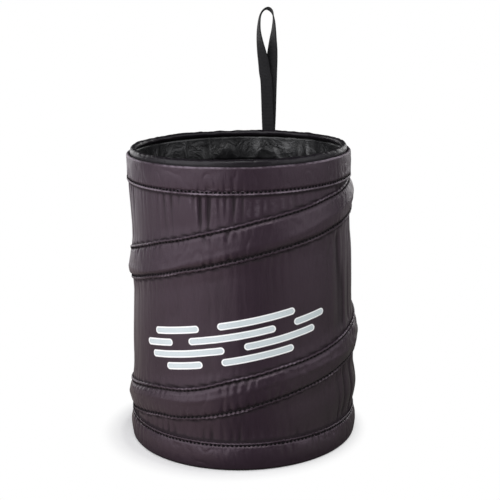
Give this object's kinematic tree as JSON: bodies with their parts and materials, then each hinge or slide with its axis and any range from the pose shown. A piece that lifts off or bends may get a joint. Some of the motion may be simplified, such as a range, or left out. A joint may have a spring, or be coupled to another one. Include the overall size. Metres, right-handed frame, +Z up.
{
  "type": "car trash bin",
  "caption": "Pop-up fabric waste bin for a car: a satin tube held open by a spiral spring wire, with a lined inside and a webbing loop to hang it by.",
  "frame": {"origin": "centre of the foot, on the surface the bin stands on", "axes": "+Z up through the mouth, -Y to the front, with the hanging loop behind the mouth on the +Y side"},
  "size_m": [0.1638, 0.1643, 0.298],
  "materials": {
    "satin": "satin nylon",
    "dark_satin": "satin nylon, rolled",
    "lining": "glossy waterproof coating",
    "spring_steel": "drawn spring wire",
    "crimp": "crimped sleeve",
    "cap": "moulded",
    "webbing": "ribbed webbing"
  },
  "bodies": {
    "base": {"outer_wall": "satin", "spiral_casing": "satin", "spiral_wire": "spring_steel", "lower_wire_tip": "cap", "base_band": "satin", "base_ring_wire": "spring_steel", "base_ring_sleeve": "crimp", "base_panel": "satin", "lining_wall": "lining", "lining_floor": "lining"},
    "rim": {"upper_wire_tip": "cap", "top_band": "satin", "rim_roll": "dark_satin", "top_ring_wire": "spring_steel", "top_ring_sleeve": "crimp", "hanging_loop": "webbing"}
  },
  "joints": [
    {"name": "collapse", "type": "slide", "parent": "base", "child": "rim", "axis": [0, 0, 1], "range_m": [-0.158, 0], "stiffness_N_per_m": 60, "springref_m": 0.03, "deforming": ["outer_wall", "lining_wall", "spiral_casing", "spiral_wire"]}
  ]
}
